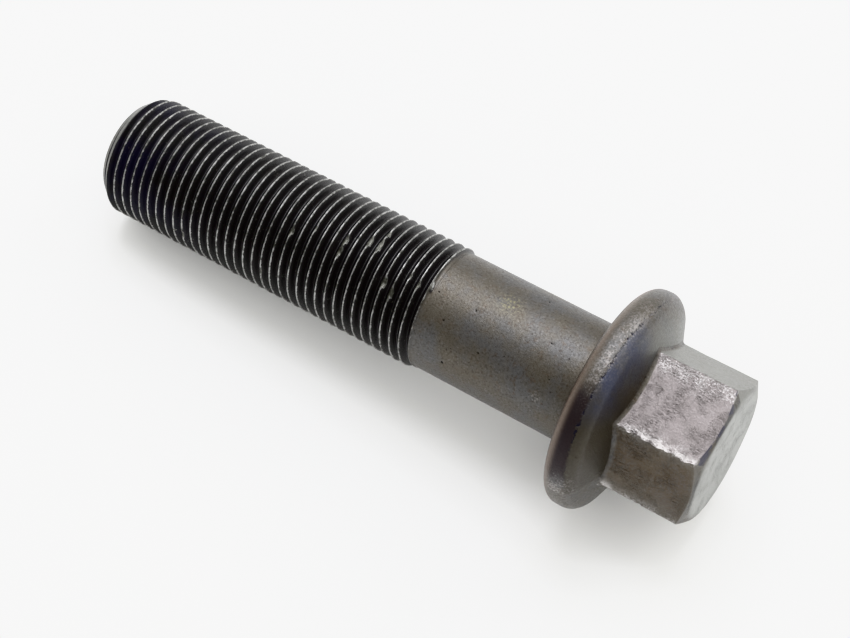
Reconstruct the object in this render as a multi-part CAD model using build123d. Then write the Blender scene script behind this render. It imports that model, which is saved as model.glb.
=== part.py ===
from build123d import *

import os
from math import cos, radians, sqrt, tan

# A hex flange bolt, M18 x 1.5, lying along X with its head at +X. The origin is the
# centre of the bearing face under the flange. Lengths are millimetres, angles degrees.
# The real bolt is one forging. Its formed sections are separate solids here, which meet
# face to face on planes across the axis.

# Thread
major_diameter = 17.88
pitch = 1.5
flank_angle = 30.0
crest_share = 1 / 8  # of the pitch, by the metric profile
depth_share = 0.6134  # of the pitch, by the metric profile
thread_length = 52.2
runout_length = 1.5
point_length = 3.0
point_chamfer = 1.5  # off the radius at the end
point_chamfer_length = 1.9
first_crest = 1.39  # from the end of the point to a crest's middle, along the top

# Shank
length = 76.7  # from the bearing face to the end of the point
shank_diameter = 16.88
neck_length = 2.0
neck_fillet = 0.8

# Flange
flange_diameter = 30.9
rim_lower_radius = 1.8
rim_upper_radius = 2.2
cone_angle = 23.0  # from the plane of the flange
cone_height_at_corners = 6.0  # where the cone meets the corners of the hexagon
foot_margin = 1.0  # from those corners out to where the flange hands over to the head

# Hexagon
across_flats = 18.8
head_height = 17.9  # from the bearing face to the end face
end_face_diameter = 17.56
end_chamfer_angle = 26.0
head_turn = 10.9  # of the upper flat, from level
foot_fillet = 0.6

# Fixed by geometry and by how the solids are made
half_corner = 30.0  # from a hexagon's corner to the middle of its flat
margin = 1.0  # by which a trimming shape stands clear of what it trims
runout_relief = 0.1  # by which the run-out's blanks clear the crest and root where it starts
match = 0.01  # within which two lengths count as the same
most_of = 0.9  # the share of a wall that a fillet may use up

# Worked out from the sizes above
major_radius = major_diameter / 2
shank_radius = shank_diameter / 2
flange_radius = flange_diameter / 2
corner_radius = across_flats / sqrt(3)
cone_slope = tan(radians(cone_angle))
seat_radius = corner_radius + foot_margin
seat_height = cone_height_at_corners - foot_margin * cone_slope
rim_turn = radians(90 - cone_angle)  # from the rim's wall to the cone
rim_room = (flange_radius - seat_radius) / cos(radians(cone_angle))  # along the cone
largest_rim_radius = most_of * rim_room / tan(rim_turn / 2)
thread_depth = depth_share * pitch
root_radius = major_radius - thread_depth
crest_flat = crest_share * pitch
flank_width = thread_depth * tan(radians(flank_angle))
point_end = -length
point_seat = point_end + point_length
runout_seat = point_end + thread_length
shank_seat = runout_seat + runout_length

# From the frame that the sections are drawn in, with the axis upright, to the lying bolt
lying = Plane(origin=(0, 0, 0), x_dir=(0, 0, 1), z_dir=(1, 0, 0)).location


def turned(points):
    """A solid of revolution about the axis, from an outline of (radius, height) points."""
    outline = Polyline(*[(radius, 0, height) for radius, height in points], close=True)
    return revolve(make_face(outline), Axis.Z)


def cone_height(radius):
    """The height of the flange's cone at a radius."""
    return cone_height_at_corners + (corner_radius - radius) * cone_slope


def thread_corners():
    """The profile's corners over one pitch, as (radius, height), from a crest's lower edge."""
    root_start = crest_flat + flank_width
    return [
        (major_radius, 0),
        (major_radius, crest_flat),
        (root_radius, root_start),
        (root_radius, pitch - flank_width),
        (major_radius, pitch),
    ]


def thread_line(radius, height):
    """One turn of a right-hand helix."""
    return Edge.make_helix(pitch, pitch, radius, center=(0, 0, height)).edge()


def threaded_bar(start, turns):
    """A bar with a helical thread, whose ends are still steps of one pitch."""
    corners = thread_corners()
    faces = []
    for turn in range(turns):
        base = start + turn * pitch
        for (radius_a, low), (radius_b, high) in zip(corners, corners[1:]):
            lower = thread_line(radius_a, base + low)
            upper = thread_line(radius_b, base + high)
            faces.append(Face.make_surface_from_curves(lower, upper))
    for base in (start, start + turns * pitch):
        axis = Edge.make_line((0, 0, base), (0, 0, base + pitch))
        faces.append(Face.make_surface_from_curves(thread_line(major_radius, base), axis))
        rim = [(radius, 0, base + height) for radius, height in corners]
        step = Wire.make_polygon([(0, 0, base), *rim, (0, 0, base + pitch)], close=True)
        faces.append(Face(step))
    return Solid(Shell(faces))


def thread_between(low, high):
    """A threaded bar that covers the stretch from low to high, in step with the rest."""
    crest_start = point_end + first_crest - crest_flat / 2
    first_turn = int((low - crest_start) // pitch) - 1
    turns = int((high - low) // pitch) + 3
    return threaded_bar(crest_start + first_turn * pitch, turns)


def slice_of(bar, low, high):
    """The part of a bar between two planes across the axis."""
    wide = 2 * (major_radius + margin)
    return bar & Pos(0, 0, (low + high) / 2) * Box(wide, wide, high - low)


def chamfered_point():
    """The first turns, with the chamfer that starts the bolt in its hole."""
    end_radius = major_radius - point_chamfer
    outer = major_radius + margin
    chamfer_slope = point_chamfer_length / point_chamfer
    blank = turned(
        [
            (0, point_end),
            (end_radius, point_end),
            (outer, point_end + (outer - end_radius) * chamfer_slope),
            (outer, point_seat),
            (0, point_seat),
        ]
    )
    return thread_between(point_end, point_seat) & blank


def thread():
    """The full thread."""
    return slice_of(thread_between(point_seat, runout_seat), point_seat, runout_seat)


def thread_runout():
    """The last turn, whose crest sinks and whose root rises to the shank."""
    sinking = turned(
        [
            (0, runout_seat),
            (major_radius + runout_relief, runout_seat),
            (shank_radius, shank_seat),
            (0, shank_seat),
        ]
    )
    rising = turned(
        [
            (0, runout_seat),
            (root_radius - runout_relief, runout_seat),
            (shank_radius, shank_seat),
            (0, shank_seat),
        ]
    )
    return (thread_between(runout_seat, shank_seat) & sinking) + rising


def shank():
    """The plain shank, left at the size the thread was rolled from."""
    top = -neck_length
    return turned([(0, shank_seat), (shank_radius, shank_seat), (shank_radius, top), (0, top)])


def ring(body, radius, place):
    """A body's lowest (place 0) or highest (place -1) circular edge of one radius."""
    circles = body.edges().filter_by(GeomType.CIRCLE)
    same_size = circles.filter_by(lambda edge: abs(edge.radius - radius) < match)
    return same_size.sort_by(Axis.Z)[place]


def flange():
    """The round flange with the bearing face, and the neck that blends it to the shank."""
    body = turned(
        [
            (0, -neck_length),
            (shank_radius, -neck_length),
            (shank_radius, 0),
            (flange_radius, 0),
            (flange_radius, cone_height(flange_radius)),
            (seat_radius, seat_height),
            (0, seat_height),
        ]
    )
    body = fillet(ring(body, flange_radius, -1), min(rim_upper_radius, largest_rim_radius))
    body = fillet(ring(body, flange_radius, 0), rim_lower_radius)
    return fillet(ring(body, shank_radius, -1), neck_fillet)


def end_envelope():
    """A turned blank of the head, whose cone cuts the end chamfer on the hexagon."""
    outer = seat_radius + margin
    end_radius = end_face_diameter / 2
    chamfer_drop = (outer - end_radius) * tan(radians(end_chamfer_angle))
    return turned(
        [
            (0, seat_height),
            (outer, seat_height),
            (outer, head_height - chamfer_drop),
            (end_radius, head_height),
            (0, head_height),
        ]
    )


def hex_head():
    """The hexagon on the rest of the flange's cone, chamfered at its end."""
    outline = RegularPolygon(corner_radius, 6, rotation=half_corner + head_turn)
    prism = Pos(0, 0, seat_height) * extrude(outline, head_height - seat_height)
    cone = turned([(0, seat_height), (seat_radius, seat_height), (0, cone_height(0))])
    head = (prism & end_envelope()) + cone
    foot_low = cone_height_at_corners - match
    foot_high = cone_height(across_flats / 2) + match
    foot = head.edges().filter_by(lambda edge: foot_low < edge.center().Z < foot_high)
    return fillet(foot, foot_fillet)


sections = {
    "chamfered_point": chamfered_point,
    "thread": thread,
    "thread_runout": thread_runout,
    "shank": shank,
    "flange": flange,
    "hex_head": hex_head,
}

os.makedirs("parts", exist_ok=True)
for name, build_section in sections.items():
    export_step(lying * build_section(), f"parts/{name}.step")
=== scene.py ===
"""The looks of a worn hex flange bolt: rolled thread, plain shank, round flange and hexagon."""

import math

import bpy
import numpy as np
from bpy.props import FloatProperty, FloatVectorProperty, IntProperty, PointerProperty
from mathutils import Matrix, Vector, noise


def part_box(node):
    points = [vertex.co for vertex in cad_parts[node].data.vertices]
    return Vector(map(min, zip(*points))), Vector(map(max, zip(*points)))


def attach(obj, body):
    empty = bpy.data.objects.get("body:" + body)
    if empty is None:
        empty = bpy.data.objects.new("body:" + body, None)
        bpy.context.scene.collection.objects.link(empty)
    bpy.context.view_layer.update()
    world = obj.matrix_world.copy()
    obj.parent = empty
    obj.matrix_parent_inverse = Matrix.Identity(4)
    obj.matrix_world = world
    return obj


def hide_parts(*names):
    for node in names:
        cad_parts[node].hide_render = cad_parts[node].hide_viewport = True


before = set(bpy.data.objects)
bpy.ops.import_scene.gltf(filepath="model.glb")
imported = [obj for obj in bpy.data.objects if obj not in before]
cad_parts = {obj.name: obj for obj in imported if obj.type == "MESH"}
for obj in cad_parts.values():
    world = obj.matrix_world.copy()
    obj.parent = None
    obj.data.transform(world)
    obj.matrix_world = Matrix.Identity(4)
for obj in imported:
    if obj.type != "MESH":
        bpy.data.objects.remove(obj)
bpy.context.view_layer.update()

bl_info = {
    "name": "Worn Flange Bolt",
    "version": (1, 0, 0),
    "blender": (4, 5, 0),
    "location": "View3D > Sidebar > Flange Bolt",
    "description": "Models and finishes a used hex flange bolt on its measured frame",
    "category": "Add Mesh",
}

MM = 0.001
ROUND = 2 * math.pi
MERGE = 0.002 * MM  # within which two points count as one
TURNED_EDGE = 38  # degrees, over which an edge of a turned piece stays sharp

# Places along the bolt's axis and radii about it, from the frame
POINT_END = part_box("chamfered_point")[0].x
RUNOUT_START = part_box("thread_runout")[0].x
SHANK_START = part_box("shank")[0].x
NECK_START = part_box("flange")[0].x
HEAD_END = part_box("hex_head")[1].x
THREAD_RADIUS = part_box("thread")[1].z
SHANK_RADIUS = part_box("shank")[1].z
FLANGE_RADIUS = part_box("flange")[1].z


# ---- sizes and colours ----


def length(label, text, default):
    """A length that a user can change."""
    return FloatProperty(name=label, description=text, default=default, unit="LENGTH", precision=5)


def angle(label, text, degrees):
    """An angle that a user can change."""
    return FloatProperty(
        name=label, description=text, default=math.radians(degrees), unit="ROTATION"
    )


def colour(label, text, value):
    """A colour that a user can change."""
    return FloatVectorProperty(
        name=label, description=text, default=value, size=3, subtype="COLOR", min=0, max=1
    )


class ThreadSizes(bpy.types.PropertyGroup):
    pitch: length("Pitch", "Distance from one crest to the next", 1.5 * MM)
    depth: length("Depth", "Height of a crest over the root", 0.92 * MM)
    crest: length("Crest width", "Flat left on top of a crest", 0.13 * MM)
    first_crest: length("First crest", "From the point to a crest's middle, on top", 1.39 * MM)
    chamfer: length("Point chamfer", "Height of the chamfer at the point", 1.5 * MM)
    chamfer_length: length("Chamfer length", "Length of the chamfer at the point", 1.9 * MM)
    steps: IntProperty(name="Steps", description="Steps in one turn", default=144, min=24)
    oxide: colour("Oxide", "Black oxide in the grooves", (0.019, 0.018, 0.018))
    crest_steel: colour("Crest steel", "Steel rubbed bare on the crests", (0.42, 0.42, 0.41))


class ShankSizes(bpy.types.PropertyGroup):
    dent: length("Unevenness", "Depth of the shallow unevenness", 0.02 * MM)
    steps: IntProperty(name="Steps", description="Steps around the shank", default=240, min=24)
    bronze: colour("Bronze", "Warm brown of the heat-treated skin", (0.106, 0.096, 0.080))
    grey: colour("Grey", "Cool grey of the heat-treated skin", (0.103, 0.102, 0.101))


class FlangeSizes(bpy.types.PropertyGroup):
    neck_fillet: length("Neck fillet", "Radius between shank and bearing face", 0.8 * MM)
    rim_lower: length("Lower rim radius", "Rounding on the bearing side", 1.8 * MM)
    rim_upper: length("Upper rim radius", "Rounding on the head side", 2.2 * MM)
    cone_angle: angle("Cone angle", "Rise of the cone from the flange's plane", 23)
    cone_height: length("Cone height", "Height of the cone at the hexagon's corners", 6.0 * MM)
    steps: IntProperty(name="Steps", description="Steps around the flange", default=320, min=24)
    blue: colour("Temper blue", "Temper blue on the cone", (0.066, 0.071, 0.100))
    tan: colour("Temper tan", "Straw and brown on the rim", (0.17, 0.135, 0.11))


class HexagonSizes(bpy.types.PropertyGroup):
    across_flats: length("Across flats", "Width over two opposite flats", 18.8 * MM)
    turn: angle("Turn", "Turn of the hexagon about the axis", 10.92)
    end_radius: length("End radius", "Radius of the flat end face", 8.78 * MM)
    chamfer_angle: angle("End chamfer", "Fall of the end chamfer", 26)
    foot_fillet: length("Foot fillet", "Radius between flats and cone", 0.8 * MM)
    bare: colour("Bare steel", "Steel rubbed bare by the wrench", (0.228, 0.207, 0.204))


class StageSizes(bpy.types.PropertyGroup):
    camera: FloatVectorProperty(
        name="Camera",
        description="Where the camera stands",
        default=(51.9 * MM, -95.63 * MM, 194.9 * MM),
        subtype="TRANSLATION",
        precision=5,
    )
    target: FloatVectorProperty(
        name="Target",
        description="What the camera looks at",
        default=(-25.47 * MM, -2.49 * MM, 0),
        subtype="TRANSLATION",
        precision=5,
    )
    lens: FloatProperty(name="Lens", description="Focal length, mm", default=72.93)
    floor: colour("Floor", "Colour of the floor", (0.86, 0.865, 0.86))


# Colours of the heat-treated skin
RUST = (0.092, 0.068, 0.050)
DARK_GRAIN = (0.045, 0.036, 0.030)
PALE_GRAIN = (0.22, 0.212, 0.206)
PIT_BLACK = (0.006, 0.005, 0.005)

# Colours of the thread
OXIDE_BLUE = (0.017, 0.016, 0.027)
NICK_GREY = (0.14, 0.14, 0.13)
DULL_STEEL = (0.12, 0.12, 0.11)
DARK_BRUISE = (0.075, 0.075, 0.067)
PALE_BRUISE = (0.125, 0.125, 0.112)

# Colours of the shank
STRAW = (0.185, 0.175, 0.105)
RUBBED_SKIN = (0.25, 0.235, 0.22)

# Colours of the flange
# Painted shade for the rim's low side
PAINTED_RIM_SHADE = (0.034, 0.028, 0.030)
# Painted shade for the cone's near side
PAINTED_SHADE_OLIVE = (0.062, 0.056, 0.046)
# Painted light for the cone's far side
PAINTED_LIGHT_CONE = (0.165, 0.168, 0.155)
PARTING_BLACK = (0.014, 0.014, 0.022)
# Rubbed steel flecks on the rim, partly painted highlight
RIM_FLECKS_AND_PAINTED_HIGHLIGHT = (0.265, 0.25, 0.24)

# Colours of the hexagon
# Brown skin, partly painted shade, for the lower and back flats
BROWN_AND_PAINTED_SHADE = (0.088, 0.066, 0.044)
# Painted light for the top flat, also the paler end face and the under flat's edges
PALE_AND_PAINTED_LIGHT_SKIN = (0.235, 0.236, 0.222)
BRUSHED_STEEL = (0.190, 0.172, 0.168)
WORN_GRAIN = (0.09, 0.08, 0.077)
END_GREY = (0.31, 0.315, 0.30)
SCRATCH_BLACK = (0.03, 0.028, 0.027)
BRIGHT_STEEL = (0.40, 0.385, 0.38)
HEEL_BLUE = (0.075, 0.073, 0.092)
BURR_STEEL = (0.46, 0.445, 0.435)
NOTCH_BLACK = (0.030, 0.027, 0.026)


# ---- modelling helpers ----


def select_only(piece):
    """Makes one object the selected and active one."""
    bpy.ops.object.select_all(action="DESELECT")
    piece.select_set(True)
    bpy.context.view_layer.objects.active = piece


def begin_edit(piece, action="SELECT"):
    """Opens a piece in edit mode, with all of it selected or none."""
    select_only(piece)
    bpy.ops.object.mode_set(mode="EDIT")
    bpy.ops.mesh.select_all(action=action)


def end_edit():
    """Goes back to object mode."""
    bpy.ops.object.mode_set(mode="OBJECT")


def named_piece(name):
    """The object just added, under a name of its own."""
    piece = bpy.context.active_object
    piece.name = name
    piece.data.name = name
    return piece


def straight(start, end, count):
    """Points from start to end, without the start."""
    return [start + (end - start) * i / count for i in range(1, count + 1)]


def arc(centre, radius, start, end, count):
    """Points on an arc in the half-plane, without the start. Angles are in radians."""
    turns = straight(start, end, count)
    return [centre + radius * Vector((math.cos(t), math.sin(t))) for t in turns]


def draw_outline(name, outline):
    """A chain of edges over the axis, from (along, radius) points, extruded one by one."""
    bpy.ops.object.select_all(action="DESELECT")
    bpy.ops.mesh.primitive_plane_add(size=MM, location=(0, 0, 0))
    piece = named_piece(name)
    begin_edit(piece)
    bpy.ops.mesh.merge(type="CENTER")
    first = outline[0]
    bpy.ops.transform.translate(value=(first.x, 0, first.y))
    for start, end in zip(outline, outline[1:]):
        step = (end.x - start.x, 0, end.y - start.y)
        bpy.ops.mesh.extrude_vertices_move(TRANSFORM_OT_translate={"value": step})
    end_edit()
    return piece


def sweep_outline(piece, steps, turns=1, rise=0.0):
    """Turns an outline about the axis, rising by one pitch a turn for a thread."""
    select_only(piece)
    bpy.ops.object.modifier_add(type="SCREW")
    screw = piece.modifiers[-1]
    screw.axis = "X"
    screw.angle = ROUND
    screw.steps = steps
    screw.render_steps = steps
    screw.iterations = turns
    screw.screw_offset = rise
    bpy.ops.object.modifier_apply(modifier=screw.name)
    begin_edit(piece)
    bpy.ops.mesh.remove_doubles(threshold=MERGE)
    bpy.ops.mesh.normals_make_consistent(inside=False)
    end_edit()


def read_points(piece):
    """The vertices of a piece as rows of x, y, z."""
    flat = np.empty(len(piece.data.vertices) * 3)
    piece.data.vertices.foreach_get("co", flat)
    return flat.reshape(-1, 3)


def write_points(piece, points):
    """Moves the vertices of a piece to new places."""
    piece.data.vertices.foreach_set("co", points.astype(np.float32).ravel())
    piece.data.update()


def write_attributes(piece, **fields):
    """Stores numbers on the vertices, by name, for the piece's material to read."""
    for name, values in fields.items():
        attribute = piece.data.attributes.new(name, "FLOAT", "POINT")
        attribute.data.foreach_set("value", np.asarray(values, np.float32))


def read_polar(piece):
    """The vertices, their places along the axis, radii, and angles about +X from +Y."""
    points = read_points(piece)
    along, y, z = points.T
    return points, along, np.hypot(y, z), np.arctan2(z, y)


def from_polar(along, radius, turn):
    """Rows of x, y, z from places along the axis, radii and angles."""
    return np.stack([along, radius * np.cos(turn), radius * np.sin(turn)], axis=1)


def outwards(turn):
    """Directions straight out from the axis, as rows of x, y, z."""
    return from_polar(np.zeros_like(turn), 1, turn)


def smooth_step(values, low, high):
    """0 below low, 1 above high, and smooth between them."""
    t = np.clip((values - low) / (high - low), 0, 1)
    return t * t * (3 - 2 * t)


def step_mm(values, low, high):
    """The same over lengths, with its ends in millimetres."""
    return smooth_step(values, low * MM, high * MM)


def turn_step(turn, low, high):
    """The same over angles, with its ends in degrees."""
    return smooth_step(turn, math.radians(low), math.radians(high))


def bump(distance, reach):
    """1 where a distance is nothing, fading over its reach."""
    return np.exp(-((distance / reach) ** 2))


def unevenness(points, size, seed):
    """Smooth noise from -1 to 1 over the points, with lumps of one size."""
    shift = Vector((seed * 7.3, seed * 3.1, seed * 5.7))
    scaled = points / size
    return np.array([noise.noise(Vector(p) + shift) for p in scaled])


def angle_from(turn, middle):
    """Angles from a middle, between -pi and pi."""
    return (turn - middle + math.pi) % ROUND - math.pi


def finish_piece(piece, sharp, material, slot, *nodes):
    """Shades a piece smooth but for its sharp edges, and gives it its material and place."""
    select_only(piece)
    bpy.ops.object.shade_smooth_by_angle(angle=math.radians(sharp))
    piece.data.materials.clear()
    piece.data.materials.append(material)
    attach(piece, "root")
    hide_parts(*nodes)


# ---- node helpers ----


class Graph:
    """Adds nodes to one node tree and joins them."""

    def __init__(self, tree):
        self.tree = tree
        self.place = None

    def fill(self, node, inputs):
        """Sets or joins a node's inputs, and gives its outputs."""
        for socket, value in inputs.items():
            if isinstance(value, bpy.types.NodeSocket):
                self.tree.links.new(value, node.inputs[socket])
            else:
                node.inputs[socket].default_value = value
        return node.outputs

    def add(self, kind, inputs, output=0, **settings):
        """A node with its settings and inputs, and the output to carry on from."""
        node = self.tree.nodes.new(kind)
        for name, value in settings.items():
            setattr(node, name, value)
        outputs = self.fill(node, inputs)
        return outputs[output] if outputs else None

    def spot(self):
        """Object coordinates."""
        if self.place is None:
            self.place = self.add("ShaderNodeTexCoord", {}, "Object")
        return self.place

    def stretched(self, stretch, turn=(0, 0, 0)):
        """Object coordinates, turned and stretched."""
        sockets = {"Vector": self.spot(), "Scale": stretch, "Rotation": turn}
        return self.add("ShaderNodeMapping", sockets)

    def noise(self, size, detail=4.0, rough=0.55, vector=None):
        """Noise with lumps of one size in millimetres, or at a scale from a socket."""
        scale = size if isinstance(size, bpy.types.NodeSocket) else 1 / (size * MM)
        sockets = {
            "Vector": vector or self.spot(),
            "Scale": scale,
            "Detail": detail,
            "Roughness": rough,
        }
        return self.add("ShaderNodeTexNoise", sockets, "Fac")

    def value(self, operation, first, second=0.0):
        """A simple working on numbers."""
        return self.add("ShaderNodeMath", {0: first, 1: second}, operation=operation)

    def times(self, *factors):
        """A product of numbers, sockets and vertex attributes given by name."""
        product, *others = [self.attribute(f) if isinstance(f, str) else f for f in factors]
        for other in others:
            product = self.value("MULTIPLY", product, other)
        return product

    def plus(self, first, second):
        """A sum."""
        return self.value("ADD", first, second)

    def minus(self, first, second):
        """A difference."""
        return self.value("SUBTRACT", first, second)

    def band(self, value, low, high, bottom=0.0, top=1.0):
        """bottom where the value is under low, top where it is over high."""
        sockets = {0: value, 1: low, 2: high, 3: bottom, 4: top}
        return self.add("ShaderNodeMapRange", sockets, interpolation_type="SMOOTHSTEP")

    def mix(self, share, first, second):
        """A mixture of two colours."""
        sockets = {0: share, 6: as_colour(first), 7: as_colour(second)}
        return self.add("ShaderNodeMix", sockets, 2, data_type="RGBA")

    def tint(self, color, other, *shares):
        """A colour turned towards another, by the product of the shares."""
        return self.mix(self.times(*shares), color, other)

    def blend(self, share, first, second):
        """A number between two others."""
        sockets = {"Factor": share, "A": first, "B": second}
        return self.add("ShaderNodeMix", sockets, 0, data_type="FLOAT")

    def attribute(self, name):
        """A number stored on the vertices."""
        return self.add("ShaderNodeAttribute", {}, "Fac", attribute_name=name)

    def frayed(self, name, rough, amount):
        """A number stored on the vertices, whose edges a noise makes ragged."""
        swing = self.times(self.minus(rough, 0.5), amount)
        return self.plus(self.attribute(name), swing)

    def group(self, name, inputs):
        """The outputs of a shared node group placed in this tree."""
        node = self.tree.nodes.new("ShaderNodeGroup")
        node.node_tree = shared_group(name)
        return self.fill(node, inputs)


def as_colour(value):
    """A colour with its alpha, or a socket as it is."""
    if isinstance(value, bpy.types.NodeSocket):
        return value
    return (*value, 1.0)


def new_group(name, inputs, outputs):
    """An empty node group's graph, its inputs and its output node."""
    tree = bpy.data.node_groups.new(name, "ShaderNodeTree")
    for label, kind in inputs.items():
        tree.interface.new_socket(label, in_out="INPUT", socket_type=kind)
    for label, kind in outputs.items():
        tree.interface.new_socket(label, in_out="OUTPUT", socket_type=kind)
    entry = tree.nodes.new("NodeGroupInput").outputs
    return Graph(tree), entry, tree.nodes.new("NodeGroupOutput")


def speckle_group(name):
    """Fine grains that show where the surface is rough."""
    inputs = {"Scale": "NodeSocketFloat", "Share": "NodeSocketFloat"}
    graph, entry, leave = new_group(name, inputs, {"Mask": "NodeSocketFloat"})
    fine = graph.noise(entry["Scale"], 3.0, 0.6)
    mixed = graph.plus(fine, graph.times(graph.noise(2.2, 2.0), 0.45))
    low = graph.minus(0.95, graph.times(entry["Share"], 0.35))
    graph.fill(leave, {"Mask": graph.band(mixed, low, graph.plus(low, 0.18))})
    return graph.tree


# How each set of scratches is stretched and turned
SCRATCH_DIRECTIONS = (((1, 14, 1), (0.3, 0.5, 0.9)), ((1, 1, 18), (1.1, 0.2, -0.6)))


def scratch_group(name):
    """Fine scratches in two directions."""
    inputs = {"Share": "NodeSocketFloat"}
    graph, entry, leave = new_group(name, inputs, {"Mask": "NodeSocketFloat"})
    masks = []
    for stretch, turn in SCRATCH_DIRECTIONS:
        lines = graph.noise(1.6, 2.0, 0.5, graph.stretched(stretch, turn))
        distance = graph.value("ABSOLUTE", graph.minus(lines, 0.5))
        masks.append(graph.band(distance, 0.004, 0.022, 1.0, 0.0))
    patches = graph.band(graph.noise(3.0, 2.0), 0.42, 0.62)
    shown = graph.times(graph.value("MAXIMUM", *masks), patches, entry["Share"])
    graph.fill(leave, {"Mask": shown})
    return graph.tree


def skin_group(name):
    """The mottled skin that forging and heat treatment leave."""
    inputs = {"Warm": "NodeSocketColor", "Cool": "NodeSocketColor"}
    outputs = {
        "Color": "NodeSocketColor",
        "Roughness": "NodeSocketFloat",
        "Height": "NodeSocketFloat",
    }
    graph, entry, leave = new_group(name, inputs, outputs)
    clouds = graph.band(graph.noise(5.5, 4.0, 0.6), 0.35, 0.65)
    grain = graph.noise(0.30, 4.0, 0.75)
    color = graph.mix(clouds, entry["Warm"], entry["Cool"])
    rusty = graph.band(graph.noise(0.9, 4.0, 0.7), 0.54, 0.68, 0.0, 0.45)
    color = graph.mix(rusty, color, RUST)
    color = graph.mix(graph.band(grain, 0.34, 0.5, 0.55, 0.0), color, DARK_GRAIN)
    color = graph.mix(graph.band(grain, 0.55, 0.74, 0.0, 0.5), color, PALE_GRAIN)
    pits = graph.band(graph.noise(0.6, 2.0, 0.5), 0.235, 0.262, 1.0, 0.0)
    results = {
        "Color": graph.mix(pits, color, PIT_BLACK),
        "Roughness": graph.band(grain, 0.3, 0.7, 0.44, 0.30),
        "Height": graph.minus(grain, pits),
    }
    graph.fill(leave, results)
    return graph.tree


SHARED_GROUPS = {
    "Speckle": speckle_group,
    "Scratches": scratch_group,
    "Heat-treated skin": skin_group,
}


def shared_group(name):
    """A node group that several materials use, built when it is first asked for."""
    if name not in bpy.data.node_groups:
        return SHARED_GROUPS[name](name)
    return bpy.data.node_groups[name]


def speckle(graph, size, share):
    """The mask of the speckle group, with grains of one size in millimetres."""
    return graph.group("Speckle", {"Scale": 1 / (size * MM), "Share": share})["Mask"]


def heat_treated(graph, skin):
    """The outputs of the skin group, in the skin's two colours."""
    colours = {"Warm": as_colour(skin.bronze), "Cool": as_colour(skin.grey)}
    return graph.group("Heat-treated skin", colours)


# ---- materials ----

SKIN_METALLIC = 0.65  # the rest is oxide, which shines at a low angle
THREAD_ROUGHNESS = 0.32


def start_material(name):
    """An empty material and its graph."""
    material = bpy.data.materials.new(name)
    material.use_nodes = True
    material.node_tree.nodes.clear()
    return material, Graph(material.node_tree)


def end_material(graph, color, metallic, rough, height, depth):
    """Joins a graph's results to the surface, with relief of a depth in millimetres."""
    relief = {"Height": height, "Strength": 1.0, "Distance": depth * MM}
    sockets = {
        "Base Color": color,
        "Metallic": metallic,
        "Roughness": rough,
        "Normal": graph.add("ShaderNodeBump", relief, "Normal"),
    }
    surface = graph.add("ShaderNodeBsdfPrincipled", sockets, "BSDF")
    graph.add("ShaderNodeOutputMaterial", {"Surface": surface})


def groove_colour(graph, sizes):
    """Black oxide, bluer in clouds near the point, with small nicks."""
    clouds = graph.band(graph.noise(7.0, 2.0), 0.40, 0.65, 0.0, 0.8)
    groove = graph.tint(sizes.oxide, OXIDE_BLUE, clouds, "blued")
    return graph.tint(groove, NICK_GREY, speckle(graph, 0.30, 0.3), 0.5)


def crest_colour(graph, sizes):
    """Rubbed steel, dull in places and bruised where something has struck it."""
    dull = graph.band(graph.noise(0.8, 4.0, 0.75), 0.36, 0.60)
    steel = graph.mix(dull, DULL_STEEL, sizes.crest_steel)
    mottled = graph.band(graph.noise(0.5), 0.35, 0.65)
    bruise = graph.mix(mottled, DARK_BRUISE, PALE_BRUISE)
    return graph.tint(steel, bruise, "struck")


def thread_material(sizes, skin):
    """Black oxide in the grooves, rubbed through to steel on the crests."""
    material, graph = start_material("Oxide thread")
    plain = heat_treated(graph, skin)
    runout = graph.attribute("runout")
    bare = graph.frayed("crest", graph.noise(0.45, 4.0, 0.7), 1.3)
    bare = graph.band(bare, 0.66, 0.92)
    color = graph.mix(bare, groove_colour(graph, sizes), crest_colour(graph, sizes))
    color = graph.mix(runout, color, plain["Color"])
    rough = graph.blend(runout, THREAD_ROUGHNESS, plain["Roughness"])
    metallic = graph.blend(runout, graph.band(bare, 0.0, 1.0, 0.3, 1.0), SKIN_METALLIC)
    height = graph.blend(runout, graph.noise(0.12, 3.0), plain["Height"])
    end_material(graph, color, metallic, rough, height, 0.04)
    return material


def shank_material(sizes):
    """Bronzed, mottled skin with fine pits."""
    material, graph = start_material("Bronzed shank")
    skin = heat_treated(graph, sizes)
    flecks = graph.band(graph.noise(0.3, 3.0, 0.65), 0.50, 0.60)
    color = graph.tint(skin["Color"], STRAW, flecks, "straw")
    color = graph.tint(color, RUBBED_SKIN, flecks, "rubbed")
    color = graph.tint(color, PIT_BLACK, graph.band(graph.attribute("pits"), 0.35, 0.65))
    end_material(graph, color, SKIN_METALLIC, skin["Roughness"], skin["Height"], 0.05)
    return material


def rim_colour(graph, sizes, plain):
    """Straw and brown on the bearing side, and painted shade on the low side for its dark
    reflections.
    """
    smoked = graph.frayed("smoked", graph.noise(1.6, 4.0, 0.65), 0.7)
    smoked = graph.band(smoked, 0.1, 0.9, 0.0, 0.92)
    return graph.tint(graph.mix(smoked, plain["Color"], PAINTED_RIM_SHADE), sizes.tan, "outer")


def cone_colour(graph, sizes, plain):
    """Skin darkened to olive on the near side as painted shade and paled on the far side as painted
    light, with a cloud of temper blue.
    """
    color = graph.tint(plain["Color"], PAINTED_SHADE_OLIVE, "shaded", 0.85)
    color = graph.tint(color, PAINTED_LIGHT_CONE, "pale", 0.7)
    clouds = graph.band(graph.noise(4.0, 4.0, 0.6), 0.34, 0.60, 0.35, 1.0)
    return graph.tint(color, sizes.blue, clouds, "blued")


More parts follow.
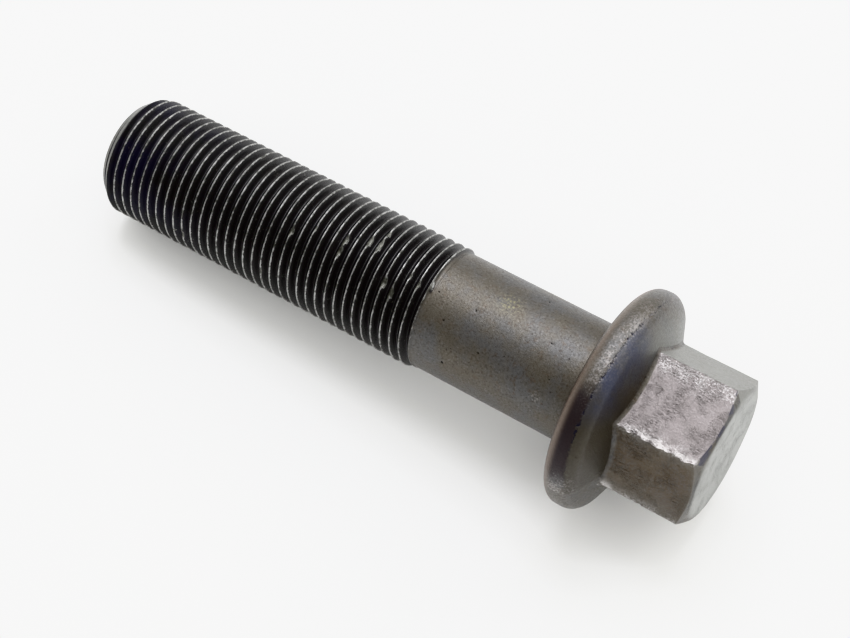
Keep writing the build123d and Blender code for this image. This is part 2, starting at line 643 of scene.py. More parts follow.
def flange_material(sizes, skin):
    """Temper colours, from straw on the rim to blue on the cone, with a ragged parting line."""
    material, graph = start_material("Tempered flange")
    plain = heat_treated(graph, skin)
    side = graph.frayed("past_line", graph.noise(0.6, 4.0, 0.75), 0.9)
    rim = rim_colour(graph, sizes, plain)
    cone = cone_colour(graph, sizes, plain)
    color = graph.mix(graph.band(side, -0.25, 0.25), rim, cone)
    line = graph.band(graph.value("ABSOLUTE", side), 0.02, 0.16, 1.0, 0.0)
    gaps = graph.band(graph.noise(1.0, 3.0, 0.6), 0.46, 0.58)
    line = graph.times(line, gaps, "parted")
    color = graph.mix(line, color, PARTING_BLACK)
    # Rubbed flecks on the rim, gathered partly as painted highlight
    color = graph.tint(color, RIM_FLECKS_AND_PAINTED_HIGHLIGHT, speckle(graph, 0.26, 0.7), "rubbed")
    height = graph.minus(plain["Height"], line)
    end_material(graph, color, SKIN_METALLIC, plain["Roughness"], height, 0.05)
    return material


def flats_colour(graph, sizes, plain, bared):
    """Skin, darker brown below, partly as painted shade, and paler above as painted light, worn
    through to brushed steel.
    """
    grained = graph.band(graph.noise(0.34, 4.0, 0.75), 0.36, 0.62, 0.45, 1.0)
    skinned = graph.tint(plain["Color"], BROWN_AND_PAINTED_SHADE, "under", grained)
    skinned = graph.tint(skinned, PALE_AND_PAINTED_LIGHT_SKIN, "pale")
    brushed = graph.noise(3.2, 5.0, 0.6, graph.stretched((1, 2.2, 1), (0.9, 0.3, 0.5)))
    steel = graph.mix(graph.band(brushed, 0.30, 0.64), BRUSHED_STEEL, sizes.bare)
    fine = graph.band(graph.noise(0.22, 3.0, 0.7), 0.36, 0.66, 0.3, 0.0)
    return graph.mix(bared, skinned, graph.mix(fine, steel, WORN_GRAIN))


def end_colour(graph, color, scratches):
    """A greyer end face with dark scratches."""
    color = graph.tint(color, END_GREY, "end_face", 0.7)
    return graph.tint(color, SCRATCH_BLACK, scratches, "end_face", 0.75)


def edge_colour(graph, color, torn):
    """A stained end chamfer, and a burr that is bright where it isn't notched."""
    stained = graph.band(graph.noise(1.4, 3.0, 0.6), 0.44, 0.52)
    color = graph.tint(color, HEEL_BLUE, stained, "heel")
    color = graph.tint(color, BURR_STEEL, "lip", graph.band(torn, 0.44, 0.54))
    return graph.tint(color, NOTCH_BLACK, "lip", graph.band(torn, 0.36, 0.42, 1.0, 0.0))


def hexagon_material(sizes, skin):
    """Skin worn through to bare steel where the wrench bears."""
    material, graph = start_material("Worn hexagon")
    plain = heat_treated(graph, skin)
    wear = graph.attribute("wear")
    torn = graph.noise(0.9, 4.0, 0.7, graph.stretched((0.55, 1, 1)))
    speck = speckle(graph, 0.24, 0.75)
    scratches = graph.group("Scratches", {"Share": 0.8})["Mask"]
    bared = graph.frayed("bared", graph.noise(1.3, 4.0, 0.65), 0.8)
    bared = graph.band(bared, 0.35, 0.75)
    color = flats_colour(graph, sizes, plain, bared)
    color = end_colour(graph, color, scratches)
    flecks = graph.times(speck, graph.band(wear, 0.25, 0.9))
    bright = graph.value("MAXIMUM", flecks, graph.times(bared, 0.15, scratches))
    color = graph.mix(bright, color, BRIGHT_STEEL)
    color = edge_colour(graph, color, torn)
    rough = graph.minus(plain["Roughness"], graph.times(bright, 0.08))
    sunk = graph.minus(plain["Height"], graph.times(scratches, 0.5))
    raised = graph.plus(graph.times(wear, 0.2, speck), graph.times("lip", torn))
    end_material(graph, color, SKIN_METALLIC, rough, graph.plus(sunk, raised), 0.07)
    return material


def floor_material(sizes):
    """A plain pale floor with a trace of unevenness."""
    material, graph = start_material("Pale floor")
    clouds = graph.noise(120.0, 2.0)
    dimmer = [0.985 * channel for channel in sizes.floor]
    color = graph.mix(clouds, sizes.floor, dimmer)
    end_material(graph, color, 0.0, 0.85, clouds, 0.01)
    return material


# ---- thread ----

# Crests that knocks have flattened: place along the axis in millimetres, angle in degrees,
# length along the crest in degrees, depth in millimetres
KNOCKS = (
    (-45.2, 116, 10, 0.42),
    (-42.2, 104, 5, 0.20),
    (-37.8, 101, 9, 0.46),
    (-37.7, 113, 13, 0.40),
    (-34.8, 92, 12, 0.40),
    (-33.4, 77, 7, 0.34),
    (-33.3, 92, 15, 0.42),
    (-30.2, 119, 12, 0.58),
    (-28.7, 125, 12, 0.44),
    (-27.2, 104, 6, 0.26),
    (-25.7, 107, 7, 0.30),
    (-62.0, 172, 8, 0.30),
    (-48.0, 165, 7, 0.22),
    (-55.5, 60, 9, 0.20),
    (-66.0, -60, 9, 0.26),
    (-31.5, -100, 10, 0.36),
    (-47.0, -20, 8, 0.24),
)
KNOCK_WIDTH = 0.75 * MM  # to each side along the axis
TORN_PLACE = -23.95 * MM  # a sliver of the last crest, torn loose on the shank
TORN_ANGLE = math.radians(103)
TORN_HEIGHT = 0.20 * MM
CREST_WEAR = 0.022 * MM
DISH_STEPS = ((0.96, 0.0), (0.80, 0.0), (0.80, 0.05), (0.70, 0.16), (0.5, 0.1))


def thread_outline(sizes, start):
    """One pitch of the thread, from the middle of a root to the middle of the next."""
    half_pitch = sizes.pitch / 2
    half_crest = sizes.crest / 2
    half_root = sizes.pitch / 12
    root = THREAD_RADIUS - sizes.depth
    shoulder = 0.035 * MM
    half = [
        Vector((0, root - 0.8 * shoulder)),
        Vector((half_root / 2, root - 0.5 * shoulder)),
        Vector((half_root, root + 0.5 * shoulder)),
    ]
    half += straight(half[-1], Vector((half_pitch - half_crest, THREAD_RADIUS - shoulder)), 3)
    half.append(Vector((half_pitch - half_crest / 2, THREAD_RADIUS)))
    half.append(Vector((half_pitch, THREAD_RADIUS)))
    mirrored = [Vector((sizes.pitch - p.x, p.y)) for p in reversed(half[:-1])]
    return [Vector((start + p.x, p.y)) for p in half + mirrored]


def knock_crests(along, radius, turn):
    """Flattens the crests where something has hit them. Gives the new radii and where."""
    struck = np.zeros_like(radius)
    for place, middle, span, depth in KNOCKS:
        around = angle_from(turn, math.radians(middle)) / math.radians(span / 2)
        beside = (along - place * MM) / KNOCK_WIDTH
        hit = (np.abs(around) < 1) & (np.abs(beside) < 1)
        floor = THREAD_RADIUS - depth * MM * (1 - around**2)
        touched = step_mm(radius - floor, -0.10, 0.01) * hit
        radius = np.where(hit, np.minimum(radius, floor), radius)
        struck = np.maximum(struck, touched)
    return radius, struck


def chamfer_point(sizes, along, radius):
    """Cuts the chamfer at the point. Gives the new radii and where it has cut."""
    slope = sizes.chamfer / sizes.chamfer_length
    limit = THREAD_RADIUS - sizes.chamfer + (along - POINT_END) * slope
    return np.minimum(radius, limit), radius > limit


def torn_sliver(along, turn):
    """1 on the torn sliver's ridge, and 0 beside it."""
    swerve = angle_from(turn, TORN_ANGLE) / math.radians(6)
    beside = (along - TORN_PLACE - 0.10 * MM * swerve) / (0.16 * MM)
    return np.clip(1 - swerve**2, 0, 1) * np.clip(1 - beside**2, 0, 1)


def shape_thread(piece, sizes):
    """Wears and knocks the crests, chamfers the point and fades out the last turn."""
    points, along, radius, turn = read_polar(piece)
    crest = smooth_step(radius, THREAD_RADIUS - 0.25 * MM, THREAD_RADIUS - 0.04 * MM)
    wear = unevenness(points, 1.3 * MM, 1)
    radius = radius - CREST_WEAR * crest * (1 + wear)
    radius, struck = knock_crests(along, radius, turn)
    crest = np.maximum(crest, 1.5 * struck)
    radius, cut = chamfer_point(sizes, along, radius)
    crest = np.where(cut, 1.1 + 0.2 * wear, crest)
    fade = smooth_step(along, RUNOUT_START - 0.2 * MM, SHANK_START - 0.5 * MM)
    radius = radius + (SHANK_RADIUS - radius) * fade
    sunk = step_mm(SHANK_RADIUS - radius, 0.03, 0.15)
    runout = smooth_step(along, RUNOUT_START + 0.1 * MM, SHANK_START - 0.8 * MM) * (1 - sunk)
    torn = torn_sliver(along, turn)
    radius = radius + TORN_HEIGHT * torn
    write_points(piece, from_polar(along, radius, turn))
    write_attributes(
        piece,
        crest=np.maximum(crest * (1 - 0.4 * fade), 1.6 * torn),
        runout=runout * (torn < 0.2),
        struck=np.maximum(struck, cut),
        blued=1 - step_mm(along, -72, -55),
    )


def cut_square(piece, place, keep_above):
    """Cuts a piece off square to the axis and closes it."""
    begin_edit(piece)
    bpy.ops.mesh.bisect(
        plane_co=(place, 0, 0),
        plane_no=(1, 0, 0),
        use_fill=True,
        clear_inner=keep_above,
        clear_outer=not keep_above,
        threshold=MERGE,
    )
    end_edit()


def dish_point(piece):
    """Dishes the end face, as rolling leaves it."""
    begin_edit(piece, "DESELECT")
    bpy.ops.mesh.select_mode(type="FACE")
    end_edit()
    for face in piece.data.polygons:
        face.select = face.normal.x < -0.9 and len(face.vertices) > 8
    bpy.ops.object.mode_set(mode="EDIT")
    centre = (POINT_END, 0, 0)
    for share, depth in DISH_STEPS:
        bpy.ops.mesh.extrude_region_move(TRANSFORM_OT_translate={"value": (depth * MM, 0, 0)})
        bpy.ops.transform.resize(value=(1, share, share), center_override=centre)
    bpy.ops.mesh.select_mode(type="VERT")
    end_edit()


class BOLT_OT_thread(bpy.types.Operator):
    """Model the rolled thread with its chamfered point and run-out"""

    bl_idname = "bolt.thread"
    bl_label = "Rolled Thread"

    def execute(self, context):
        sizes = context.scene.bolt_thread
        start = POINT_END + sizes.first_crest - 2.5 * sizes.pitch
        turns = math.ceil((SHANK_START - start) / sizes.pitch) + 1
        piece = draw_outline("rolled_thread", thread_outline(sizes, start))
        sweep_outline(piece, sizes.steps, turns, sizes.pitch)
        shape_thread(piece, sizes)
        cut_square(piece, POINT_END, True)
        cut_square(piece, SHANK_START, False)
        dish_point(piece)
        material = thread_material(sizes, context.scene.bolt_shank)
        nodes = ("chamfered_point", "thread", "thread_runout")
        finish_piece(piece, TURNED_EDGE, material, "oxide_thread", *nodes)
        return {"FINISHED"}


# ---- shank ----


# Pits in the shank: place along the axis in millimetres, angle in degrees, radius in millimetres
PITS = (
    (-19.0, 163, 0.26),
    (-6.4, 99, 0.20),
    (-17.3, 104, 0.18),
    (-14.6, 136, 0.20),
    (-10.2, 58, 0.20),
    (-4.6, 128, 0.18),
    (-20.6, 124, 0.20),
    (-15.0, -70, 0.26),
    (-8.0, -140, 0.24),
)
# Patches of flecks: place in millimetres, angle in degrees, size in millimetres
STRAW_PATCH = (-14.0, 83, 1.3)
RUBBED_PATCH = (-5.4, 149, 0.5)
PIT_DEPTH = 0.09 * MM


def patch(along, turn, place, middle, size):
    """1 at a place on the shank, and less away from it."""
    around = angle_from(turn, math.radians(middle)) * SHANK_RADIUS
    return bump(np.hypot(along - place * MM, around), size * MM)


def dent_shank(piece, depth):
    """Leaves shallow unevenness and pits, and marks the pits and the patches of flecks."""
    points, along, radius, turn = read_polar(piece)
    ends = np.minimum(along - SHANK_START, NECK_START - along)
    dent = np.maximum(unevenness(points, 2.6 * MM, 2), 0) * step_mm(ends, 0, 1.0)
    pits = sum(patch(along, turn, *pit) for pit in PITS)
    radius = radius - depth * dent * (radius > SHANK_RADIUS / 2)
    radius = radius - PIT_DEPTH * np.clip(pits, 0, 1)
    write_points(piece, from_polar(along, radius, turn))
    straw = patch(along, turn, *STRAW_PATCH)
    write_attributes(piece, pits=pits, straw=straw, rubbed=patch(along, turn, *RUBBED_PATCH))


class BOLT_OT_shank(bpy.types.Operator):
    """Model the plain shank between the thread and the flange"""

    bl_idname = "bolt.shank"
    bl_label = "Plain Shank"

    def execute(self, context):
        sizes = context.scene.bolt_shank
        low = Vector((SHANK_START, SHANK_RADIUS))
        high = Vector((NECK_START, SHANK_RADIUS))
        outline = [Vector((SHANK_START, 0)), low, *straight(low, high, 84)]
        piece = draw_outline("plain_shank", outline + [Vector((NECK_START, 0))])
        sweep_outline(piece, sizes.steps)
        dent_shank(piece, sizes.dent)
        finish_piece(piece, TURNED_EDGE, shank_material(sizes), "bronzed_shank", "shank")
        return {"FINISHED"}


# ---- flange ----


def cone_height(sizes, corner, radius):
    """The height of the flange's cone at a radius."""
    return sizes.cone_height + (corner - radius) * math.tan(sizes.cone_angle)


def flange_outline(sizes, corner):
    """Neck, bearing face, rim and cone, up to under the hexagon."""
    neck, lower, upper = sizes.neck_fillet, sizes.rim_lower, sizes.rim_upper
    cone = sizes.cone_angle
    inner = SHANK_RADIUS - 0.5 * MM
    upper_radius = FLANGE_RADIUS - upper
    upper_place = cone_height(sizes, corner, upper_radius) - upper / math.cos(cone)
    upper_middle = Vector((upper_place, upper_radius))
    right = math.pi / 2
    outline = [Vector((NECK_START, 0)), Vector((NECK_START, SHANK_RADIUS))]
    outline += straight(outline[-1], Vector((-neck, SHANK_RADIUS)), 4)
    outline += arc(Vector((-neck, SHANK_RADIUS + neck)), neck, -right, 0, 8)
    outline += straight(outline[-1], Vector((0, FLANGE_RADIUS - lower)), 14)
    outline += arc(Vector((lower, FLANGE_RADIUS - lower)), lower, 2 * right, right, 14)
    outline += straight(outline[-1], Vector((upper_place, FLANGE_RADIUS)), 6)
    outline += arc(upper_middle, upper, right, cone, 26)
    outline += straight(outline[-1], Vector((cone_height(sizes, corner, inner), inner)), 32)
    return outline + [Vector((outline[-1].x, 0))]


def parting_line(turn):
    """How far along the axis the ragged parting line runs on the rim."""
    return (3.45 - 0.45 * np.cos(2 * (turn - math.radians(128)))) * MM


def shape_flange(piece):
    """Leaves the parting line's ragged step, shallow dents and a flattened place."""
    points, along, radius, turn = read_polar(piece)
    ragged = unevenness(points, 1.1 * MM, 3) + 0.5 * unevenness(points, 0.5 * MM, 4)
    past = along - parting_line(turn) + 0.14 * MM * ragged
    outside = step_mm(radius, 14.2, 15.1) * (along > 0.5 * MM)
    step = step_mm(past, -0.05, 0.1) * outside
    groove = bump(past, 0.16 * MM) * outside * np.clip(0.3 + ragged, 0, 1)
    dent = np.maximum(unevenness(points, 3.0 * MM, 5), 0) * step_mm(radius, 9, 11)
    radius = radius - (0.05 * step + 0.07 * groove + 0.05 * dent * (along > 1.5 * MM)) * MM
    pressed = bump(angle_from(turn, math.radians(62)), 0.75)
    pressed = pressed * (1 - step_mm(along, 0.2, 2.6))
    radius = radius - 0.36 * MM * pressed * step_mm(radius, 13, 15)
    write_points(piece, from_polar(along, radius, turn))
    mark_flange(piece, along, radius, turn, past)


def mark_flange(piece, along, radius, turn, past):
    """Says where the temper colours, the rubbing and the line are, and where painted shade and
    painted light go.
    """
    outer = step_mm(radius, 14.0, 15.0) * (1 - step_mm(along, 0.3, 1.7))
    from_front = np.abs(angle_from(turn, math.radians(102)))
    near_line = 1 - step_mm(past, 0.6, 3.6)
    # The cone's far side, paled with painted light
    pale = (1 - turn_step(turn, 70, 95)) * (turn > -0.5)
    on_rim = step_mm(radius, 13.4, 14.6)
    # The rim's low side, darkened with painted shade for its dark reflections
    smoked = turn_step(turn, 100, 134) * (1 - turn_step(turn, 158, 178)) * on_rim
    line_side = step_mm(past, -2.4, -0.5) * (1 - step_mm(past, 0, 0.4))
    # More flecks towards the side of the rim's highlight, as painted highlight, and more from 150
    # to 170 degrees
    painted_highlight_side = 0.5 + 0.5 * turn_step(turn, 66, 104)
    rubbed = 0.62 * line_side * painted_highlight_side + 0.15 + 0.6 * turn_step(turn, 150, 170)
    write_attributes(
        piece,
        past_line=past / MM,
        outer=outer,
        blued=(1 - smooth_step(from_front, 0.2, 0.65)) * near_line,
        parted=1 - smooth_step(from_front, 0.6, 1.2),
        pale=pale * step_mm(past, 0.5, 2.0),
        smoked=smoked,
        rubbed=rubbed * (1 - smoked) * on_rim,
        # The cone's near side, darkened with painted shade
        shaded=turn_step(turn, 90, 128),
    )


class BOLT_OT_flange(bpy.types.Operator):
    """Model the round flange with its neck, rim and cone"""

    bl_idname = "bolt.flange"
    bl_label = "Round Flange"

    def execute(self, context):
        sizes = context.scene.bolt_flange
        corner = context.scene.bolt_hexagon.across_flats / math.sqrt(3)
        piece = draw_outline("round_flange", flange_outline(sizes, corner))
        sweep_outline(piece, sizes.steps)
        shape_flange(piece)
        material = flange_material(sizes, context.scene.bolt_shank)
        finish_piece(piece, TURNED_EDGE, material, "tempered_flange", "flange")
        return {"FINISHED"}


# ---- hexagon ----


SIDES = 6
CUTS = 95  # in each edge of a flat
WORN_SIDE = 1  # the flat that the wrench has rubbed bare
UNDER_SIDE = 2  # the flat below it
PAINTED_LIGHT_SIDE = 0  # the flat above it, paled with painted light
CORNER_ROUNDING = (0.90, 0.55, 0.24, 0.32, 0.38, 0.38)  # before each side, in millimetres
# Corners that are chipped: the side after each, its reach and depth in millimetres, its seed
CHIPPED_CORNERS = ((1, 0.7, 0.07, 8), (2, 0.5, 0.2, 9), (3, 0.6, 0.25, 10))
FOOT_RINGS = 12
WALL_RINGS = 50
CHAMFER_RINGS = 10
WALL_END = FOOT_RINGS + WALL_RINGS  # the ring where the end chamfer starts
SOFTENING_PASSES = 3
HEXAGON_EDGE = 50  # degrees, over which an edge stays sharp


def hexagon_walls(corner):
    """Six open walls at the hexagon's size and place, cut into small squares."""
    bpy.ops.object.select_all(action="DESELECT")
    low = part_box("hex_head")[0].x
    bpy.ops.mesh.primitive_cylinder_add(
        vertices=SIDES,
        radius=corner,
        depth=HEAD_END - low,
        end_fill_type="NOTHING",
        location=((HEAD_END + low) / 2, 0, 0),
        rotation=(0, math.pi / 2, 0),
    )
    piece = named_piece("hexagon")
    bpy.ops.object.transform_apply(location=True, rotation=True, scale=True)
    begin_edit(piece)
    bpy.ops.mesh.subdivide(number_cuts=CUTS)
    end_edit()
    return piece, low


def side_places(points, corner):
    """For each vertex its side's number, and its place across the side from -1 to 1."""
    turn = np.arctan2(points[:, 2], points[:, 1])
    first = math.atan2(points[0, 2], points[0, 1]) + math.pi / SIDES
    side = np.floor((turn - first) / (ROUND / SIDES) + 0.5 + 1e-6).astype(int) % SIDES
    middle = first + side * ROUND / SIDES
    across = -points[:, 1] * np.sin(middle) + points[:, 2] * np.cos(middle)
    return side, across / (corner / 2)


def rounded_outline(side, across, apothem, turn):
    """Places on a hexagon with rounded corners, and the directions that face outwards."""
    before = np.array(CORNER_ROUNDING)[side] * MM
    after = np.array(CORNER_ROUNDING)[(side + 1) % SIDES] * MM
    rounding = np.where(across < 0, before, after)
    slope = math.tan(math.pi / SIDES)
    eased = 0.55 * across + 0.45 * np.sin(across * math.pi / 2)
    place = eased * apothem * slope
    flat_end = (apothem - rounding) * slope
    share = np.clip((np.abs(place) - flat_end) / (rounding * slope), 0, 1)
    bend = share * math.pi / SIDES * np.sign(across)
    on_flat = np.abs(place) <= flat_end
    out = np.where(on_flat, apothem, apothem - rounding + rounding * np.cos(bend))
    along = np.where(on_flat, place, np.sign(across) * flat_end + rounding * np.sin(bend))
    face = turn + side * ROUND / SIDES
    normal = np.where(on_flat, face, face + bend)
    y = out * np.cos(face) - along * np.sin(face)
    z = out * np.sin(face) + along * np.cos(face)
    return np.stack([y, z], 1), np.stack([np.cos(normal), np.sin(normal)], 1), face, eased


def bunched(ring, first, count):
    """Shares from 0 to 1 over a stretch of rings, closer together at both ends."""
    t = np.clip((ring - first) / count, 0, 1)
    return 0.5 - 0.5 * np.cos(math.pi * t)


def fold_walls(ring, outline, normal, cone, hexagon, corner):
    """Folds the walls into foot fillet, flats, end chamfer and end face."""
    foot = hexagon.foot_fillet
    slope = math.tan(cone.cone_angle)
    start = math.pi / 2 - cone.cone_angle
    bend = start * (1 - np.clip(ring / FOOT_RINGS, 0, 1))
    offset = foot * (1 - np.cos(bend))
    lift = foot * (1 / math.cos(cone.cone_angle) - np.sin(bend) - np.cos(bend) * slope)
    flared = outline + normal * offset[:, None]
    reach = np.hypot(flared[:, 0], flared[:, 1])
    foot_place = cone_height(cone, corner, reach) + lift - 0.03 * MM * (ring == 0)
    radius = np.hypot(outline[:, 0], outline[:, 1])
    fall = math.tan(hexagon.chamfer_angle)
    edge_place = HEAD_END - (radius - hexagon.end_radius) * fall
    wall = bunched(ring, FOOT_RINGS, WALL_RINGS)
    chamfer = np.clip((ring - WALL_END) / CHAMFER_RINGS, 0, 1)
    last = CUTS + 1 - WALL_END - CHAMFER_RINGS
    inward = np.clip((ring - WALL_END - CHAMFER_RINGS) / last, 0, 1)
    along = foot_place + (edge_place - foot_place) * wall
    along = along + (HEAD_END - edge_place) * chamfer
    shrink = (1 + (hexagon.end_radius / radius - 1) * chamfer) * (1 - inward)
    return np.column_stack([along, flared * shrink[:, None]])


def burr_edges(points, side, eased, face, half):
    """Pushes a ragged lip over one worn corner and chips its neighbours."""
    along = points[:, 0]
    rows = along[:, None] * np.array((1.0, 0.0, 0.0))
    ragged = unevenness(rows, 0.9 * MM, 6) + 0.6 * unevenness(rows, 0.35 * MM, 7)
    flat = step_mm(along, 7.2, 7.8) * (1 - step_mm(along, 16.4, 16.9))
    tangent = outwards(face + math.pi / 2)
    to_lip = (1 - eased) * half
    near = bump(to_lip, 0.28 * MM) * flat * (side == WORN_SIDE)
    lip = near * np.clip(0.16 + 0.34 * ragged, 0, 0.42) * MM
    points = points + (tangent + 0.35 * outwards(face)) * lip[:, None]
    for number, reach, depth, seed in CHIPPED_CORNERS:
        after = np.where(side == number - 1, to_lip, 1.0)
        before = np.where(side == number, (1 + eased) * half, 1.0)
        chips = np.clip(unevenness(rows, 0.8 * MM, seed) - 0.05, 0, 1)
        bite = bump(np.minimum(after, before), reach * MM) * flat * chips * depth * 2.2 * MM
        points = points - outwards(face) * bite[:, None]
    return points


def soften_creases(points, ring, side, across):
    """Rounds the creases that run around the piece, in a few passes over its rings."""
    around = SIDES * (CUTS + 1)
    column = np.rint((side + (across + 1) / 2) * (CUTS + 1)).astype(int) % around
    order = np.lexsort((column, ring))
    grid = points[order].reshape(CUTS + 2, around, 3)
    for _ in range(SOFTENING_PASSES):
        grid[1:-1] = (grid[:-2] + 2 * grid[1:-1] + grid[2:]) / 4
    points[order] = grid.reshape(-1, 3)


def shape_hexagon(piece, low, cone, hexagon):
    """Turns the cut walls into the worn hexagon."""
    corner = hexagon.across_flats / math.sqrt(3)
    start = read_points(piece)
    ring = np.rint((start[:, 0] - low) / (HEAD_END - low) * (CUTS + 1))
    side, across = side_places(start, corner)
    middle = math.radians(30) + hexagon.turn
    apothem = hexagon.across_flats / 2
    outline, normal, face, eased = rounded_outline(side, across, apothem, middle)
    points = fold_walls(ring, outline, normal, cone, hexagon, corner)
    soften_creases(points, ring, side, across)
    points = burr_edges(points, side, eased, face, corner / 2)
    dents = np.maximum(unevenness(points, 2.2 * MM, 11), 0) + 0.4 * unevenness(points, 0.8 * MM, 12)
    wall = (ring > FOOT_RINGS) & (ring < WALL_END + 2)
    points = points - outwards(face) * (0.05 * MM * dents * wall)[:, None]
    write_points(piece, points)
    mark_hexagon(piece, points[:, 0], ring, side, eased, corner / 2)


def mark_hexagon(piece, along, ring, side, eased, half):
    """Says where the hexagon is worn, bare, stained and burred, and where it is paler, partly as
    painted light, and darker brown, partly as painted shade.
    """
    worn = side == WORN_SIDE
    scuffed = (side == UNDER_SIDE) & (eased > 0)
    reach = np.where(scuffed | (worn & (eased < 0)), 1.8, 0.9)
    edge = np.exp(-(1 - np.abs(eased)) * half / (reach * MM))
    end_edge = np.exp(-np.abs(WALL_END - ring) / 4)
    foot = smooth_step(ring, FOOT_RINGS - 6, FOOT_RINGS)
    top = 1 - smooth_step(ring, WALL_END, WALL_END + 3)
    end_face = smooth_step(ring, WALL_END + 6, WALL_END + 12)
    heel = smooth_step(ring, WALL_END - 4, WALL_END)
    heel = heel * (1 - smooth_step(ring, WALL_END + 5, WALL_END + 8))
    framed = 0.4 * (side == UNDER_SIDE) * np.maximum(edge, end_edge) * foot
    # The top flat is paled with painted light; the end face and the under flat's edges are paler
    # too
    pale = np.maximum(0.8 * (side == PAINTED_LIGHT_SIDE) * foot, 0.85 * end_face)
    to_lip = (1 - eased) * half
    lip = bump(to_lip, 0.6 * MM) * worn * foot * top
    chipped = bump(along - 6.7 * MM, 1.1 * MM) * bump(to_lip, 0.9 * MM) * (side == UNDER_SIDE)
    write_attributes(
        piece,
        wear=np.where(worn, 0.25 + 1.1 * edge, 0.75 * edge) * foot * top,
        bared=np.where(worn, 1.0, 0.1) * foot * top - 0.5 * (1 - top),
        end_face=end_face,
        heel=heel * worn,
        pale=np.maximum(pale, framed),
        # The lower and back flats, darker brown, partly as painted shade
        under=0.8 * (side > WORN_SIDE) * foot * top,
        lip=np.maximum(lip, chipped),
    )


def close_hexagon(piece):
    """Merges the end face's points and closes the foot."""
    begin_edit(piece)
    bpy.ops.mesh.remove_doubles(threshold=MERGE)
    bpy.ops.mesh.select_all(action="DESELECT")
    bpy.ops.mesh.select_non_manifold()
    bpy.ops.mesh.edge_face_add()
    bpy.ops.mesh.select_all(action="SELECT")
    bpy.ops.mesh.normals_make_consistent(inside=False)
    end_edit()


class BOLT_OT_hexagon(bpy.types.Operator):
    """Model the worn hexagon on the flange's cone"""

    bl_idname = "bolt.hexagon"
    bl_label = "Worn Hexagon"

    def execute(self, context):
        scene = context.scene
        sizes = scene.bolt_hexagon
        piece, low = hexagon_walls(sizes.across_flats / math.sqrt(3))
        shape_hexagon(piece, low, scene.bolt_flange, sizes)
        close_hexagon(piece)
        material = hexagon_material(sizes, scene.bolt_shank)
        finish_piece(piece, HEXAGON_EDGE, material, "worn_hexagon", "hex_head")
        return {"FINISHED"}


# ---- stage ----

AIM = Vector((-0.03, 0, 0))  # what the lights face
# Each light's name, place, size, power and tint
LIGHTS = (
    ("overhead", (-0.08, 0.23, 0.70), 0.45, 2.5, (0.97, 0.97, 1.05)),
    ("back", (0.40, 0.60, 0.45), 0.4, 1.3, (1.0, 1.0, 1.0)),
)
BACKDROP = (1.5, 1.5, 1.5)  # what the camera sees past the floor
SPREAD_LIGHT = (1.275, 1.265, 1.24)  # what lights the floor and the bolt from all around


def floor_frame():
    """The floor's tilt and height, under the flange's rim and the thread's point."""
    rim_place, point_place = 1.8 * MM, POINT_END + 1.1 * MM
    tilt = math.atan2(FLANGE_RADIUS - THREAD_RADIUS, rim_place - point_place)
    up = Vector((math.sin(tilt), 0, math.cos(tilt)))
    height = Vector((rim_place, 0, -FLANGE_RADIUS)).dot(up) - 0.01 * MM
    return tilt, up, height


def add_floor(sizes):
    """The floor that the bolt lies on."""
    tilt, up, height = floor_frame()
    bpy.ops.object.select_all(action="DESELECT")
    bpy.ops.mesh.primitive_plane_add(size=4, location=up * height, rotation=(0, tilt, 0))
    floor = named_piece("floor")
    begin_edit(floor)
    bpy.ops.mesh.subdivide(number_cuts=4)
    end_edit()
    floor.data.materials.append(floor_material(sizes))


def add_camera(sizes):
    """The camera, level with the floor."""
    bpy.ops.object.camera_add(location=sizes.camera)
    camera = bpy.context.active_object
    forward = (Vector(sizes.target) - Vector(sizes.camera)).normalized()
    right = forward.cross(floor_frame()[1]).normalized()
    turned = Matrix((right, right.cross(forward), -forward)).transposed()
    camera.rotation_euler = turned.to_euler()
    camera.data.lens = sizes.lens
    camera.data.sensor_width = 36
    camera.data.clip_start = 0.01
    bpy.context.scene.camera = camera


def add_light(name, place, size, power, tint):
    """A soft square light that faces the bolt."""
    bpy.ops.object.light_add(type="AREA", location=place)
    light = bpy.context.active_object
    light.name = name
    light.data.size = size
    light.data.energy = power
    light.data.color = tint
    light.rotation_euler = (Vector(place) - AIM).to_track_quat("Z", "Y").to_euler()


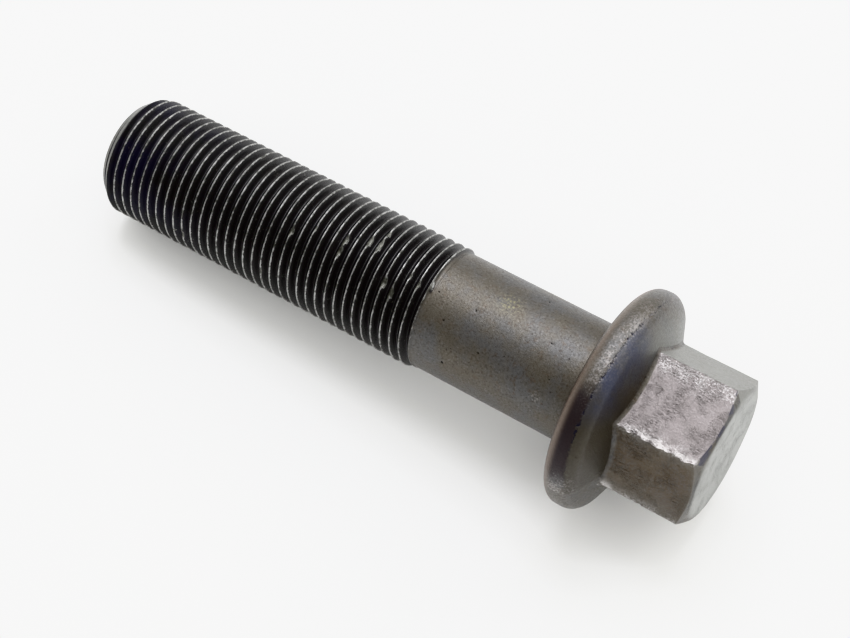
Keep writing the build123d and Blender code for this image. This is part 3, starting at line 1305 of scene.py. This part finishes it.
def add_world():
    """Light from all around, brighter above and behind than on the near side."""
    world = bpy.data.worlds.new("Studio")
    bpy.context.scene.world = world
    world.use_nodes = True
    world.node_tree.nodes.clear()
    graph = Graph(world.node_tree)
    where = graph.add("ShaderNodeTexCoord", {}, "Generated")
    parts = graph.fill(graph.tree.nodes.new("ShaderNodeSeparateXYZ"), {0: where})
    near = graph.band(parts["Y"], -0.6, 0.3, 0.60, 1.05)
    height = graph.plus(graph.times(parts["Z"], 0.94), graph.times(parts["Y"], 0.34))
    mirrored = graph.plus(near, graph.band(height, 0.6, 0.99, 0.0, 1.3))
    rays = graph.tree.nodes.new("ShaderNodeLightPath").outputs
    shown = graph.mix(rays["Is Diffuse Ray"], mirrored, SPREAD_LIGHT)
    shown = graph.mix(rays["Is Camera Ray"], shown, BACKDROP)
    background = graph.add("ShaderNodeBackground", {"Color": shown})
    graph.add("ShaderNodeOutputWorld", {"Surface": background})


class BOLT_OT_stage(bpy.types.Operator):
    """Set the floor, the lights and the camera"""

    bl_idname = "bolt.stage"
    bl_label = "Floor, Lights and Camera"

    def execute(self, context):
        sizes = context.scene.bolt_stage
        context.scene.view_settings.view_transform = "Khronos PBR Neutral"
        add_world()
        add_floor(sizes)
        add_camera(sizes)
        for light in LIGHTS:
            add_light(*light)
        return {"FINISHED"}


# ---- panel and run ----


class BOLT_PT_panel(bpy.types.Panel):
    bl_label = "Flange Bolt"
    bl_idname = "BOLT_PT_panel"
    bl_space_type = "VIEW_3D"
    bl_region_type = "UI"
    bl_category = "Flange Bolt"

    def draw(self, context):
        for key, (_, operator) in STEPS.items():
            box = self.layout.box()
            sizes = getattr(context.scene, key)
            for name in sizes.__annotations__:
                box.prop(sizes, name)
            box.operator(operator.bl_idname)


# For each step, where the scene keeps its sizes, their group and its operator
STEPS = {
    "bolt_thread": (ThreadSizes, BOLT_OT_thread),
    "bolt_shank": (ShankSizes, BOLT_OT_shank),
    "bolt_flange": (FlangeSizes, BOLT_OT_flange),
    "bolt_hexagon": (HexagonSizes, BOLT_OT_hexagon),
    "bolt_stage": (StageSizes, BOLT_OT_stage),
}


def register():
    for key, (group, operator) in STEPS.items():
        bpy.utils.register_class(group)
        bpy.utils.register_class(operator)
        setattr(bpy.types.Scene, key, PointerProperty(type=group))
    bpy.utils.register_class(BOLT_PT_panel)


def unregister():
    bpy.utils.unregister_class(BOLT_PT_panel)
    for key, (group, operator) in STEPS.items():
        delattr(bpy.types.Scene, key)
        bpy.utils.unregister_class(operator)
        bpy.utils.unregister_class(group)


def main():
    register()
    for _, operator in STEPS.values():
        category, name = operator.bl_idname.split(".")
        getattr(getattr(bpy.ops, category), name)()


if __name__ == "__main__":
    main()
